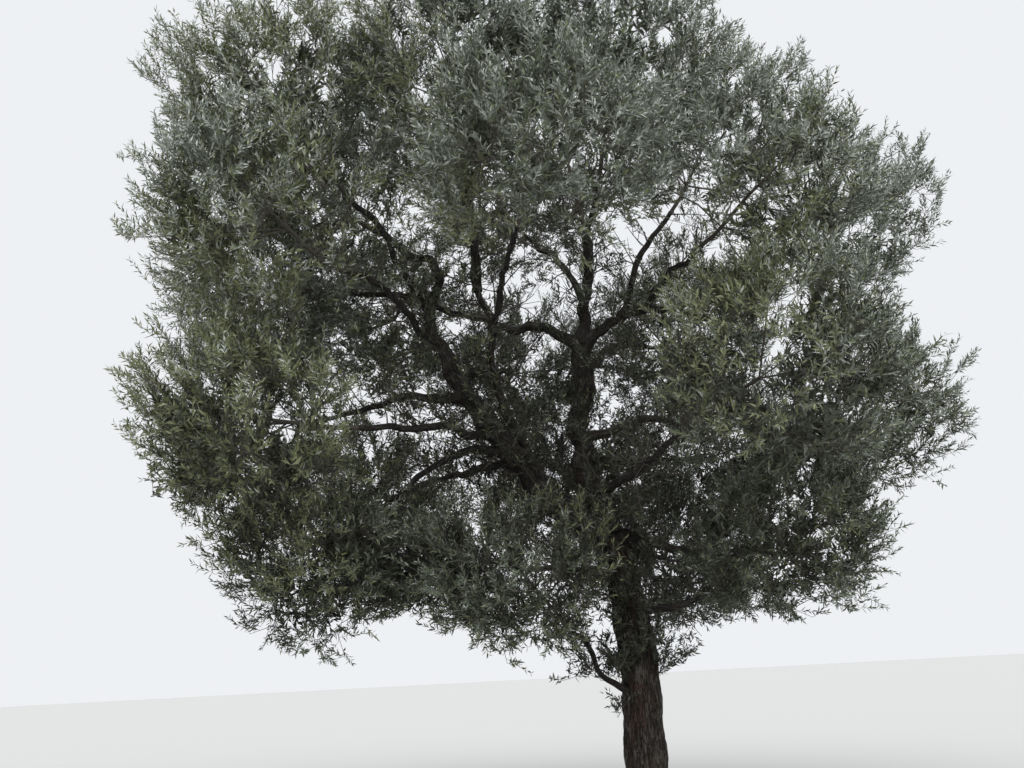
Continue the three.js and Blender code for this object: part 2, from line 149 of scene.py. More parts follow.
def bark_material(name, crack_shade, plain, pale, warm, scale, depth):
    """Old bark: long broken fissures between low ridges, near black in them from their darker bark and
    painted shade, paler where weathered, warmer where it flaked.
    """
    material, nodes, links, shader = new_material(name)
    shader.inputs["Specular IOR Level"].default_value = 0.2
    place = nodes.new("ShaderNodeUVMap")
    place.uv_map = "bark"

    def noise_at(across, along, detail, roughness, distortion):
        stretch = nodes.new("ShaderNodeMapping")
        stretch.inputs["Scale"].default_value = (scale * across, scale * along, 1)
        links.new(place.outputs["UV"], stretch.inputs["Vector"])
        texture = nodes.new("ShaderNodeTexNoise")
        texture.inputs["Scale"].default_value = 1
        texture.inputs["Detail"].default_value = detail
        texture.inputs["Roughness"].default_value = roughness
        texture.inputs["Distortion"].default_value = distortion
        links.new(stretch.outputs["Vector"], texture.inputs["Vector"])
        return texture.outputs["Fac"]

    def combined(operation, a, b):
        node = nodes.new("ShaderNodeMath")
        node.operation = operation
        for slot, value in zip(node.inputs, (a, b)):
            if isinstance(value, (int, float)):
                slot.default_value = value
            else:
                links.new(value, slot)
        return node.outputs["Value"]

    def spread(value, low, high):
        node = nodes.new("ShaderNodeMapRange")
        node.interpolation_type = "SMOOTHSTEP"
        node.inputs["From Min"].default_value = low
        node.inputs["From Max"].default_value = high
        links.new(value, node.inputs["Value"])
        return node.outputs["Result"]

    def mixed(factor, a, b):
        node = nodes.new("ShaderNodeMix")
        node.data_type = "RGBA"
        links.new(factor, node.inputs["Factor"])
        for slot, value in ((node.inputs[6], a), (node.inputs[7], b)):
            if isinstance(value, tuple):
                slot.default_value = (*value, 1)
            else:
                links.new(value, slot)
        return node.outputs[2]

    def distance_from_middle(value):
        return combined("ABSOLUTE", combined("SUBTRACT", value, 0.5), 0)

    long_cracks = distance_from_middle(noise_at(1, 0.16, 4, 0.6, 0.6))
    short_cracks = distance_from_middle(noise_at(1.9, 0.9, 3, 0.6, 0.3))
    broken = combined("MULTIPLY", 0.45, spread(short_cracks, 0.0, 0.06))
    ridges = combined("MULTIPLY", spread(long_cracks, 0.0, 0.075), combined("ADD", 0.55, broken))
    grain = noise_at(6, 1.6, 8, 0.7, 0.2)
    patches = noise_at(0.16, 0.07, 4, 0.6, 0.5)
    weathered = noise_at(0.5, 0.2, 6, 0.65, 0.5)
    surface = mixed(spread(weathered, 0.42, 0.62), plain, pale)
    surface = mixed(combined("MULTIPLY", spread(patches, 0.5, 0.62), 0.8), surface, warm)
    surface = mixed(combined("MULTIPLY", spread(grain, 0.35, 0.7), 0.5), surface, plain)
    # Painted shade: the fissures and broken cracks turn to the near-black crack colour, over their darker
    # bark.
    links.new(mixed(ridges, crack_shade, surface), shader.inputs["Base Color"])
    bump = nodes.new("ShaderNodeBump")
    bump.inputs["Strength"].default_value = 0.85
    bump.inputs["Distance"].default_value = depth
    links.new(combined("ADD", ridges, combined("MULTIPLY", grain, 0.3)), bump.inputs["Height"])
    links.new(bump.outputs["Normal"], shader.inputs["Normal"])
    rough = nodes.new("ShaderNodeMapRange")
    rough.inputs["To Min"].default_value = 0.8
    rough.inputs["To Max"].default_value = 0.98
    links.new(grain, rough.inputs["Value"])
    links.new(rough.outputs["Result"], shader.inputs["Roughness"])
    return material


def rings_along(curve, count, first):
    """Ring centres along a curve and three directions at each: along it, and two across, without twist."""
    shares = np.linspace(first, 1, count)
    centres = curve.at(shares)
    along = unit(np.gradient(centres, axis=0))
    across = np.zeros_like(along)
    helper = np.array([0.0, 1.0, 0.0]) if abs(along[0][1]) < 0.9 else np.array([1.0, 0.0, 0.0])
    across[0] = unit(np.cross(along[0], np.cross(along[0], helper)))
    for i in range(1, count):
        across[i] = unit(across[i - 1] - along[i] * np.dot(across[i - 1], along[i]))
    return shares, centres, along, across, np.cross(along, across)


def ridges_at(x, y, run, per_metre, seed):
    """Noise on the bark that falls to nothing in its fissures, of which so many go to a metre each way."""
    across, along = per_metre
    return abs(noise.noise(Vector((x * across, y * across, run * along + seed))))


def relief(theta, run, radius, seed):
    """How far the bark stands out at each place: flutes, swellings and long fissures."""
    out = np.zeros_like(radius)
    for lobes, share, twist, shift in FLUTES:
        out += radius * share * np.sin(lobes * theta + twist * run + shift * seed)
    for i in np.ndindex(theta.shape):
        x = math.cos(theta[i]) * radius[i]
        y = math.sin(theta[i]) * radius[i]
        swelling = noise.noise(Vector((x, y, run[i] * SWELLINGS_ALONG + seed)) * SWELLINGS)
        ridge = min(ridges_at(x, y, run[i], FISSURES, seed) * FISSURE_SLOPE, 1) - FISSURE_LEVEL
        fine = ridges_at(x, y, run[i], FINE_FISSURES, seed) - FINE_LEVEL
        deep = min(DEEPEST_FISSURE, radius[i] * FISSURE_SHARE)
        out[i] += radius[i] * SWELLING * swelling + deep * (ridge + FINE_SHARE * fine)
    return out


def limb_arrays(limb, sides, spacing, seed):
    """One limb as rings of corners with its bark's relief, a collar at its root and closed ends."""
    curve = limb["curve"]
    rooted = limb["on"] is None
    first = 0.0
    if rooted:
        # The curve starts below the ground, so the first ring goes where it comes up.
        probe = np.linspace(0, 0.2, 400)
        first = float(np.interp(0, curve.at(probe)[:, 2], probe))
    count = max(8, int(curve.length / spacing))
    shares, centres, along, across, over = rings_along(curve, count, first)
    if not rooted:
        centres = swayed(limb, shares, centres, across, over, seed)
    limb["shares"], limb["line"] = shares, centres
    theta, share = np.meshgrid(np.linspace(0, 2 * np.pi, sides, endpoint=False), shares)
    run = share * curve.length
    radius = limb["radius"][0] + (limb["radius"][1] - limb["radius"][0]) * share
    if rooted:
        rise = np.clip(1 - centres[:, 2:3] / FLARE_HEIGHT, 0, None)
        lobes = np.cos(FLARE_LOBES * theta + FLARE_TURN)
        swell = FLARE_SPREAD * rise**2 * (1 + FLARE_LOBING * lobes)
    else:
        parent = limb["parent_radius"]
        past = np.clip(run - COLLAR_START * parent, 0, None)
        swell = COLLAR * radius * np.exp(-past / (COLLAR_FADE * radius + PARENT_FADE * parent))
    body = radius + swell + relief(theta, run, radius, seed)
    outward = np.cos(theta)[..., None] * across[:, None] + np.sin(theta)[..., None] * over[:, None]
    verts = centres[:, None] + body[..., None] * outward
    if rooted:
        verts[0, :, 2] = 0
    ring = np.arange(count - 1)[:, None] * sides
    side = np.arange(sides)[None]
    after = (side + 1) % sides
    above = ring + sides
    walls = np.stack([ring + side, ring + after, above + after, above + side], -1).reshape(-1, 4)
    girth = limb["radius"][0] * 2 * np.pi
    grid = np.stack(np.meshgrid(np.arange(sides + 1) / sides * girth, shares * curve.length + seed), -1)
    places = np.stack([grid[:-1, :-1], grid[:-1, 1:], grid[1:, 1:], grid[1:, :-1]], 2)
    pairs = np.arange(0, sides - 1, 2)
    last = (count - 1) * sides
    top = count * sides
    tip_cap = [(last + k, last + k + 1, last + (k + 2) % sides, top) for k in pairs]
    root_cap = [((k + 2) % sides, k + 1, k, top + 1) for k in pairs]
    tip = centres[-1] + along[-1] * limb["radius"][1] * TIP_DOME
    root = centres[0] * (1, 1, 0 if rooted else 1)
    tip_places = np.array([[0.0, curve.length + seed]] * (4 * len(tip_cap)))
    root_places = np.zeros((4 * len(root_cap), 2))
    verts = np.vstack([verts.reshape(-1, 3), tip, root])
    places = np.vstack([places.reshape(-1, 2), tip_places, root_places])
    return verts, np.vstack([walls, tip_cap, root_cap]), places


limbs = {}


def add_limb(name, on, at, radii, points):
    """A limb in millimetres on the limb that carries it, at a share of that limb's length."""
    points = [np.array(p) * MM for p in points]
    limbs[name] = {
        "on": on,
        "at": at,
        "curve": Curve(points if on is None else [limbs[on]["curve"].at(at)] + points),
        "radius": np.array(radii) * MM,
        "parent_radius": 0.0 if on is None else float(np.mean(limbs[on]["radius"])),
    }


add_limb("trunk", None, 0, TRUNK_RADII, TRUNK_POINTS)
trunk_bark = bark_material("trunk_bark", **TRUNK_COLOURS, scale=30, depth=0.012)
verts, faces, uvs = limb_arrays(limbs["trunk"], TRUNK_SIDES, TRUNK_RINGS_APART, 0.0)
trunk = mesh_object("trunk_bark", verts, faces, [trunk_bark], uvs=uvs)
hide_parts("trunk")
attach(trunk, "root")

# Main limbs: the left limb and the leader that the trunk forks into, and one short stub that was pruned long
# ago. The same living bark, greyer and finer than the trunk's. Tubes with relief that grow out of the trunk.
# Name, the limb that carries it and where, radii at root and tip, and points.
MAIN_LIMBS = [
    ("left_limb", "trunk", 0.975, (165, 96),
     [(-690, -30, 3440), (-1320, -150, 3980), (-1600, -200, 4400), (-1960, -250, 5010)]),
    ("leader", "trunk", 0.93, (136, 108),
     [(-440, 60, 3620), (-455, 120, 4400), (-400, 180, 5120), (-350, 200, 5400)]),
    ("pruned_stub", "trunk", 0.9, (56, 47), [(-50, -70, 2985), (210, -160, 2930), (630, -260, 2800)]),
]
MAIN_LIMB_SIDES = {"left_limb": 64, "leader": 56, "pruned_stub": 28}
MAIN_LIMB_SEEDS = {"left_limb": 3.1, "leader": 7.7, "pruned_stub": 12.3}
MAIN_LIMB_RINGS_APART = 0.016
# Sway of a limb's centre line: waves in a metre, their share and their layer of noise, how far apart the two
# ways across lie in it, the reach as a share of a thick or a thin limb's radius, and the fade at both ends.
SWAY_WAVES, WAYS_APART = [(1.9, 1, 0), (5.3, 0.45, 4)], 9.7
THICK_LIMB, THICK_SWAY, THIN_SWAY, SWAY_FADE = 0.1, 1.1, 1.75, 6
# A collar spreads each root by a share of the limb's radius. It starts at a share of the parent's radius and
# fades over a share of both.
COLLAR, COLLAR_START, COLLAR_FADE, PARENT_FADE = 0.55, 0.8, 0.9, 0.25
# Crack: the fissures' darker bark with painted shade in them.
LIMB_COLOURS = {
    "crack_shade": (0.010, 0.009, 0.008),
    "plain": (0.038, 0.034, 0.029),
    "pale": (0.105, 0.098, 0.085),
    "warm": (0.062, 0.043, 0.030),
}


def drawn_at(limb, share):
    """A point on the centre line that a limb was drawn with."""
    return np.array([np.interp(share, limb["shares"], limb["line"][:, k]) for k in range(3)])


def swayed(limb, shares, centres, across, over, seed):
    """A limb's centre line, swaying as an old limb does, from where the limb that carries it was drawn."""
    curve = limb["curve"]
    sway = np.zeros((len(shares), 2))
    for waves, share, layer in SWAY_WAVES:
        for side in (0, 1):
            places = [(s * curve.length * waves + seed, side * WAYS_APART, layer) for s in shares]
            sway[:, side] += [share * noise.noise(Vector(place)) for place in places]
    fade = np.clip(shares * SWAY_FADE, 0, 1) * np.clip((1 - shares) * SWAY_FADE, 0, 1)
    sway *= (fade * limb["radius"][0])[:, None]
    reach = THICK_SWAY if limb["radius"][0] > THICK_LIMB else THIN_SWAY
    centres = centres + reach * (sway[:, :1] * across + sway[:, 1:] * over)
    root_shift = drawn_at(limbs[limb["on"]], limb["at"]) - curve.at(0)
    return centres + root_shift * (1 - shares)[:, None] ** 3


def joined(parts):
    """Several arrays of corners, of faces and of what goes with the faces, as one."""
    verts, faces, extras = [], [], []
    offset = 0
    for v, f, extra in parts:
        verts.append(v)
        faces.append(f + offset)
        extras.append(extra)
        offset += len(v)
    return np.vstack(verts), np.vstack(faces), np.vstack(extras)


for row in MAIN_LIMBS:
    add_limb(*row)
limb_bark = bark_material("limb_bark", **LIMB_COLOURS, scale=38, depth=0.008)
verts, faces, uvs = joined([
    limb_arrays(limbs[name], MAIN_LIMB_SIDES[name], MAIN_LIMB_RINGS_APART, seed)
    for name, seed in MAIN_LIMB_SEEDS.items()
])
main_limbs = mesh_object("main_limbs_bark", verts, faces, [limb_bark], uvs=uvs)
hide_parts("left_limb", "leader", "pruned_stub")
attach(main_limbs, "root")

# Boughs: each leaves a main limb and ends where it enters its mass of foliage. Their bark is thin, grey and
# lightly cracked. Each is a tapering tube on the solid's own curve, with a collar where it leaves its limb.
CROWN_X = -950
FLATNESS = 0.86
CELL_MARGIN = 0.022
LOWEST_LEAF = 1.25
STEM_ENTRY, NEAREST_ENTRY, ENTRY_STEP = 0.8, 0.35, 0.03
# Name, the limb that carries it and where, radii, points, rise of the arch where there are no points, and the
# mass that it carries: heading in degrees, distance out, height and reach.
BOUGHS = [
    ("centre", "leader", 0.985, (74, 34), [(-310, 220, 5860), (-170, 260, 6600)], 0, (23, 600, 7950, 1400)),
    ("left_crossing", "leader", 0.985, (64, 30), [(-830, 270, 5640), (-1680, 380, 5840), (-2280, 430, 6150)],
     0, (169, 3450, 6550, 1400)),
    ("right", "leader", 0.985, (66, 30), [(120, 220, 5750), (1070, 250, 5890), (1640, 260, 6060)],
     0, (3, 3850, 6850, 1350)),
    ("middle", "left_limb", 0.3, (58, 28), [(-1200, -220, 4200), (-1460, -280, 5300), (-1570, -250, 6080)],
     0, (200, 950, 8050, 1400)),
    ("upper_left", "left_limb", 0.985, (76, 34), [(-2110, -270, 5490), (-2180, -300, 6350)],
     0, (172, 2780, 7700, 1450)),
    ("curled", "left_limb", 0.96, (66, 30), [(-1770, 60, 4960), (-1520, 480, 5230)],
     0, (93, 3100, 5850, 1350)),
    ("lower_left", "left_limb", 0.52, (48, 26), [(-1760, -230, 4060), (-2160, -330, 3860)],
     0, (197, 2500, 2950, 1250)),
    ("right_low", "trunk", 0.66, (56, 28), [(320, -60, 2250), (640, -100, 2240)], 0, (346, 2600, 3000, 1300)),
    ("slender_left", "trunk", 0.4, (38, 20), [(-390, -100, 1470), (-600, -140, 1840)],
     0, (250, 1000, 2650, 1100)),
    ("low_left", "trunk", 0.8, (44, 24), [(-560, -60, 2700), (-1100, -100, 2680)],
     0, (175, 1500, 3050, 1150)),
    ("top_front_left", "upper_left", 0.3, (46, 28), [], 0.08, (214, 3180, 7700, 1450)),
    ("top_front", "middle", 0.72, (42, 26), [], 0.04, (250, 2200, 7800, 1400)),
    ("top_front_right", "centre", 0.2, (46, 28), [], 0.1, (297, 2050, 7700, 1450)),
    ("top_right", "right", 0.24, (44, 28), [], 0.08, (357, 2350, 7950, 1400)),
    ("top_back", "centre", 0.4, (48, 28), [], 0.06, (100, 1900, 8050, 1300)),
    ("high_front", "middle", 0.55, (40, 24), [], 0.02, (271, 3200, 6250, 1300)),
    ("high_front_right", "right", 0.35, (44, 26), [], 0.05, (317, 3180, 6250, 1400)),
    ("high_front_left", "upper_left", 0.15, (46, 28), [], 0.1, (219, 3500, 6250, 1400)),
    ("high_back_left", "left_crossing", 0.72, (42, 26), [], 0.08, (129, 3400, 6600, 1450)),
    ("high_back_right", "leader", 0.82, (52, 28), [], 0.1, (46, 3250, 6150, 1450)),
    ("side_right", "leader", 0.5, (56, 28), [], 0.05, (5, 3700, 4500, 1450)),
    ("side_front_right", "leader", 0.2, (54, 28), [], -0.04, (310, 3300, 4200, 1480)),
    ("side_front_left", "left_limb", 0.62, (54, 28), [], 0.03, (213, 3400, 4150, 1400)),
    ("side_left", "left_limb", 0.85, (56, 28), [], 0.06, (175, 3400, 4600, 1400)),
    ("side_back_left", "left_limb", 0.42, (54, 28), [], 0.05, (135, 3550, 4000, 1450)),
    ("side_back", "leader", 0.3, (54, 28), [], 0.05, (84, 3100, 4000, 1400)),
    ("side_back_right", "leader", 0.4, (54, 28), [], -0.03, (48, 3650, 4350, 1450)),
    ("low_back_right", "trunk", 0.83, (48, 26), [], 0.08, (42, 2700, 2950, 1250)),
]
BOUGH_NAMES = [row[0] for row in BOUGHS]
BOUGH_SIDES, BOUGH_RINGS_APART = 18, 0.045
FIRST_BOUGH_SEED, BOUGH_SEED_STEP = 20, 3.7
# Crack: the fissures' darker bark with painted shade in them.
BOUGH_COLOURS = {
    "crack_shade": (0.014, 0.012, 0.011),
    "plain": (0.042, 0.038, 0.033),
    "pale": (0.085, 0.082, 0.073),
    "warm": (0.058, 0.045, 0.034),
}


def mass_centre(heading, out, height):
    turn = math.radians(heading)
    return CROWN_X + out * math.cos(turn), out * math.sin(turn), height


centres = np.array([mass_centre(*row[6][:3]) for row in BOUGHS]) * MM
reaches = np.array([row[6][3] for row in BOUGHS]) * MM


def from_centres(points):
    """Offsets of points from every mass's centre, with heights stretched to make each mass a ball."""
    return (points[..., None, :] - centres) * np.array([1, 1, 1 / FLATNESS])


def depth_in(points):
    """Squared distance from every mass's centre less its squared reach."""
    return (from_centres(points)**2).sum(-1) - reaches**2


def keeps_to(mass, points, margin=CELL_MARGIN):
    """Whether points lie inside a mass's reach and on its side of every neighbour."""
    depth = depth_in(points)
    own = depth[..., mass]
    apart = np.linalg.norm(centres - centres[mass], axis=1)
    slack = depth - own[..., None] - 2 * margin * apart
    slack[..., mass] = 1
    return (own < 0) & (points[..., 2] > LOWEST_LEAF) & (slack > 0).all(-1)


def entry_point(mass, start):
    """Where a bough that comes from a point goes into its mass."""
    inward = unit(start - centres[mass])
    share = STEM_ENTRY
    while share > NEAREST_ENTRY and not keeps_to(mass, centres[mass] + inward * share * reaches[mass]):
        share -= ENTRY_STEP
    return centres[mass] + inward * share * reaches[mass]


for mass, (name, on, at, radii, via, lift, _) in enumerate(BOUGHS):
    start = limbs[on]["curve"].at(at)
    tip = entry_point(mass, np.array(via[-1]) * MM if via else start)
    if not via:
        arch = (start + tip) / 2
        arch[2] += lift * np.linalg.norm(tip - start)
        via = [arch / MM]
    add_limb(name, on, at, radii, via + [tip / MM])

bough_bark = bark_material("bough_bark", **BOUGH_COLOURS, scale=52, depth=0.004)
verts, faces, uvs = joined([
    limb_arrays(limbs[name], BOUGH_SIDES, BOUGH_RINGS_APART, FIRST_BOUGH_SEED + BOUGH_SEED_STEP * i)
    for i, name in enumerate(BOUGH_NAMES)
])
boughs = mesh_object("boughs_bark", verts, faces, [bough_bark], uvs=uvs)
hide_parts(*["bough_" + name for name in BOUGH_NAMES])
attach(boughs, "root")

# Twigs: each mass grows from a stem on its bough's tip by the solids' rule, and the rule then goes on to
# finer twigs, each with a few side twigs that carry leafy shoots. Thin grey wood, in tapering prisms.
GOLDEN = math.pi * (3 - math.sqrt(5))
HEART = np.array([-0.95, 0, 4.6])
UP = np.array([0, 0, 1.0])
# The solids' rule: a stem with knots on it, and a twig to each target of a mass from the best knot so far,
# which gets knots in its turn. Reaches are shares of the mass's, and girths of what a twig grows from.
STREAM_SEED, STREAM_SEED_STEP = 101, 37
STEM_ROOT, STEM_BEND, STEM_END = 0.012, 0.3, 0.1
STEM_GIRTH, STEM_TAPER, STEM_KNOTS = 0.94, 0.7, (0.4, 0.6, 0.8, 1)
TARGETS, TWIG_REACH, BARE_SIDE, TWIG_ROOM = 6, (0.42, 0.64), -0.55, 0.03
TWIG_GIRTH, TWIG_TAPER, THINNEST_TWIG, TWIG_RINGS = 0.55, 0.7, 0.008, 4
TWIG_KNOTS, BACKTRACK = (0.55, 0.97), 0.45
STEM_SIDES, TWIG_SIDES, FINE_SIDES = 8, 6, 3
# The finer twigs: their targets' number, place and scatter, and the room they keep from neighbours and limbs.
FINE_TARGETS, FINE_NEAREST, FINE_RANGE, FINE_SPREAD, FINE_MARGIN = 94, 0.34, 0.56, 0.05, 0.04
THINNEST_FINE_TWIG, FINE_BEND, FINE_ROOM = 0.0045, 0.05, 0.02
# How far round its mass a fine twig may turn back to the heart, at the crown's back and elsewhere.
BARE_SIDE_AT_BACK, BARE_SIDE_IN_FRONT, BARE_SIDE_CHANCE, BACK_START = -0.95, -0.5, 0.12, 0.5
SIDE_TWIGS, FIRST_SIDE_TWIG, SIDE_TWIG_LENGTH, SIDE_TWIG_RADII = 5, 0.4, (0.2, 0.42), (0.0038, 0.0022)
# A side twig's way is made up of shares of its twig's way, of chance, of the way out of the mass and of
# straight up, and its shoots' lean of its own way, of the way out and of straight up.
SIDE_TWIG_WAY, SHOOT_LEAN = (0.5, 0.75, 0.45, 0.3), (0.5, 0.35, 0.6)
SHOOTS, FIRST_SHOOT, SHOOT_LENGTH, SHOOT_CHANCE = 4, 0.35, (0.16, 0.30), 0.6
# The share of side twigs that some masses go without, so that the sky shows through.
AIRY = {
    "top_right": 0.32, "right": 0.2, "high_front_right": 0.26, "side_front_left": 0.12, "side_left": 0.12,
    "side_back_left": 0.15, "top_back": 0.25, "curled": 0.15,
}


def seeded_stream(seed):
    """The solids' own repeatable stream of numbers from 0 to 1."""
    state = seed
    whole = 0xFFFFFFFF
    while True:
        state = (state + 0x6D2B79F5) & whole
        t = ((state ^ (state >> 15)) * (state | 1)) & whole
        t ^= (t + (((t ^ (t >> 7)) * (t | 61)) & whole)) & whole
        yield ((t ^ (t >> 14)) & whole) / 4294967296


def stem_of(mass):
    """The stem that goes on from a bough's tip to near the middle of its mass."""
    bough = limbs[BOUGH_NAMES[mass]]
    along = bough["curve"].tangent(1)
    tip = bough["curve"].at(1)
    heart = centres[mass] - along * STEM_END * reaches[mass]
    length = np.linalg.norm(heart - tip)
    root = bough["radius"][1] * STEM_GIRTH
    return {
        "curve": Curve([tip - along * STEM_ROOT, tip + along * length * STEM_BEND, heart]),
        "length": length,
        "radius": np.array([root, root * STEM_TAPER]),
    }


def radius_at(thing, share):
    return thing["radius"][0] + (thing["radius"][1] - thing["radius"][0]) * share


stems = [stem_of(mass) for mass in range(len(BOUGHS))]
solid_points, solid_radius, solid_owner = [], [], []
for owner, thing in [(-1, limb) for limb in limbs.values()] + list(enumerate(stems)):
    shares = np.linspace(0, 1, max(4, int(thing["curve"].length / 0.05)))
    if "line" in thing:
        solid_points.append(np.array([drawn_at(thing, s) for s in shares]))
    else:
        solid_points.append(thing["curve"].at(shares))
    solid_radius.append(radius_at(thing, shares))
    solid_owner.append(np.full(len(shares), owner))
solid_points = np.vstack(solid_points)
solid_radius = np.concatenate(solid_radius)
solid_owner = np.concatenate(solid_owner)


def clear_of_limbs(mass, start, end, room):
    """Whether a straight twig stays clear of every limb and of the other masses' stems."""
    line = start + np.linspace(0.0, 1, 14)[:, None] * (end - start)
    others = solid_owner != mass
    apart = np.linalg.norm(line[:, None] - solid_points[others][None], axis=2) - solid_radius[others]
    return apart.min() > room


def golden_offsets(count, turn):
    """Directions spread evenly all round, flattened as the masses are."""
    k = np.arange(count)
    up = 1 - 2 * (k + 0.5) / count
    across = np.sqrt(1 - up**2)
    angle = k * GOLDEN + turn
    return np.stack([across * np.cos(angle), across * np.sin(angle), up * FLATNESS], 1)


def along_line(line, share):
    """The point at a share of the way along a bent twig."""
    return np.array([np.interp(share, np.linspace(0, 1, len(line)), line[:, k]) for k in range(3)])


def bow(steps):
    """A bend from 0 at both ends to 1 halfway."""
    return 4 * steps * (1 - steps)


def mixed_way(shares, *ways):
    """One way made up of shares of several."""
    return sum(way * share for share, way in zip(shares, ways))


wood = []
side_twigs = []
shoot_rows = []


def add_shoots(root, tip, first, count, mass, rng, lean, chance, length):
    """A side twig, and shoots at even steps along it that lean one way and stray from it by chance."""
    side_twigs.append((root, tip))
    for along in np.linspace(first, 1, count):
        base = root + along * (tip - root)
        push = unit(lean + unit(rng.normal(0, 1, 3)) * chance)
        shoot_rows.append((base, base + push * rng.uniform(*length), mass, len(side_twigs) - 1, along))


class Branching:
    """A mass's stem and twigs as they grow, with the places that a new twig can start from."""

    def __init__(self, mass):
        stem = stems[mass]
        shares = np.linspace(0, 1, 5)
        wood.append((stem["curve"].at(shares), radius_at(stem, shares), STEM_SIDES))
        self.mass = mass
        self.spots = [stem["curve"].at(s) for s in STEM_KNOTS]
        self.travelled = [s * stem["length"] for s in STEM_KNOTS]
        self.girths = [radius_at(stem, s) for s in STEM_KNOTS]

    def grow_to(self, target, thinnest, room, sides, rng=None):
        """A twig to one target from the best place so far, bent at random where a generator is given."""
        gaps = np.linalg.norm(np.array(self.spots) - target, axis=1) + BACKTRACK * np.array(self.travelled)
        best = int(np.argmin(gaps))
        start = self.spots[best]
        girth = max(thinnest, self.girths[best] * TWIG_GIRTH)
        if not clear_of_limbs(self.mass, start, target, room):
            return None
        length = np.linalg.norm(target - start)
        steps = np.linspace(0, 1, TWIG_RINGS)[:, None]
        line = start + steps * (target - start)
        if rng is not None:
            line = line + bow(steps) * rng.normal(0, FINE_BEND, 3) * length
        for share in TWIG_KNOTS:
            self.spots.append(along_line(line, share))
            self.travelled.append(self.travelled[best] + share * length)
            self.girths.append(girth * (1 + (TWIG_TAPER - 1) * share))
        wood.append((line, girth * (1 + (TWIG_TAPER - 1) * steps[:, 0]), sides))
        return line

    def nearest_first(self, targets):
        return targets[np.argsort(np.linalg.norm(targets - self.spots[0], axis=1))]


for mass, name in enumerate(BOUGH_NAMES):
    outward = unit(centres[mass] - HEART)
    branching = Branching(mass)
    stream = seeded_stream(STREAM_SEED + STREAM_SEED_STEP * mass)
    offsets = golden_offsets(TARGETS, next(stream) * 2 * math.pi)
    nearest, furthest = TWIG_REACH
    outs = [reaches[mass] * (nearest + (furthest - nearest) * next(stream)) for _ in offsets]
    targets = centres[mass] + offsets * np.array(outs)[:, None]
    chosen = targets[(offsets @ outward > BARE_SIDE) & keeps_to(mass, targets)]
    for target in branching.nearest_first(chosen):
        branching.grow_to(target, THINNEST_TWIG, TWIG_ROOM, TWIG_SIDES)

    rng = np.random.default_rng(500 + mass)
    offsets = golden_offsets(FINE_TARGETS, rng.uniform(0, 6))
    outs = reaches[mass] * (FINE_NEAREST + FINE_RANGE * rng.uniform(0, 1, FINE_TARGETS) ** 0.5)
    targets = centres[mass] + offsets * outs[:, None] + rng.normal(0, FINE_SPREAD, (FINE_TARGETS, 3))
    facing = offsets @ outward + rng.normal(0, BARE_SIDE_CHANCE, FINE_TARGETS)
    bare = BARE_SIDE_AT_BACK if centres[mass][1] > BACK_START else BARE_SIDE_IN_FRONT
    chosen = targets[(facing > bare) & keeps_to(mass, targets, FINE_MARGIN)]
    for target in branching.nearest_first(chosen):
        twig = branching.grow_to(target, THINNEST_FINE_TWIG, FINE_ROOM, FINE_SIDES, rng)
        if twig is None:
            continue
        way = unit(twig[-1] - twig[0])
        lead = unit(twig[-1] - centres[mass])
        for share in np.linspace(FIRST_SIDE_TWIG, 1, SIDE_TWIGS):
            if rng.uniform() < AIRY.get(name, 0):
                continue
            root = along_line(twig, share)
            line = unit(mixed_way(SIDE_TWIG_WAY, way, unit(rng.normal(0, 1, 3)), lead, UP))
            tip = root + line * rng.uniform(*SIDE_TWIG_LENGTH)
            lean = mixed_way(SHOOT_LEAN, line, lead, UP)
            add_shoots(root, tip, FIRST_SHOOT, SHOOTS, mass, rng, lean, SHOOT_CHANCE, SHOOT_LENGTH)

# Sprouts: short leafy twigs straight from the limbs and the upper trunk, as old olives have, and fine bare
# twigs off the boughs, bent and forked, which make the dark web between the leaves. Thin grey wood like the
# twigs', with each root sunk in the limb that it springs from.
LOWEST_SPROUT, LOWEST_BARE_TWIG = 1.3, 1.9
SPROUT_SPACING = 0.175
# Spacing on limbs that are barer or leafier than the rest, as shares of the usual.
SPROUT_GAPS = {
    "centre": 2.2, "left_crossing": 2.2, "top_back": 2.2, "high_front": 2.2,
    "trunk": 0.17, "slender_left": 0.3, "left_limb": 0.6, "leader": 0.6,
    "side_left": 0.6, "side_front_left": 0.6, "side_back_left": 0.6, "lower_left": 0.6, "side_right": 0.6,
    "side_front_right": 0.6, "side_back_right": 0.6, "side_back": 0.6, "curled": 0.6, "high_front_left": 0.6,
}
SHORT_SPROUTS = ("trunk", "slender_left")
SHORTEST_SPROUT, LONGEST_SHORT_SPROUT, LONGEST_SPROUT = 0.16, 0.5, 0.85
# A sprout or bare twig leans along its limb by a share, and up or down by chance within a range.
SPROUT_ALONG, SPROUT_RISE, SPROUT_ROOT = 0.35, (-0.35, 0.6), 0.7
SPROUT_SHOOTS, SPROUT_FIRST_SHOOT, SPROUT_SHOOT_LENGTH = 6, 0.2, (0.12, 0.26)
SPROUT_SHOOT_LEAN, SPROUT_SHOOT_CHANCE = (0.5, 0.5), 0.7
BARE_TWIG_SPACING, BARE_TWIG_LENGTH, BARE_TWIG_RADII = 0.13, (0.25, 0.75), (0.0105, 0.0082, 0.006, 0.0035)
BARE_TWIG_ALONG, BARE_TWIG_RISE, BARE_TWIG_BEND = 0.5, (-0.2, 0.6), 0.09
FORKS, FORK_PLACES, FORK_WAY = 3, (0.3, 0.95), (0.7, 0.9)
FORK_LENGTH, FORK_RADII = (0.12, 0.34), (0.0052, 0.0026)


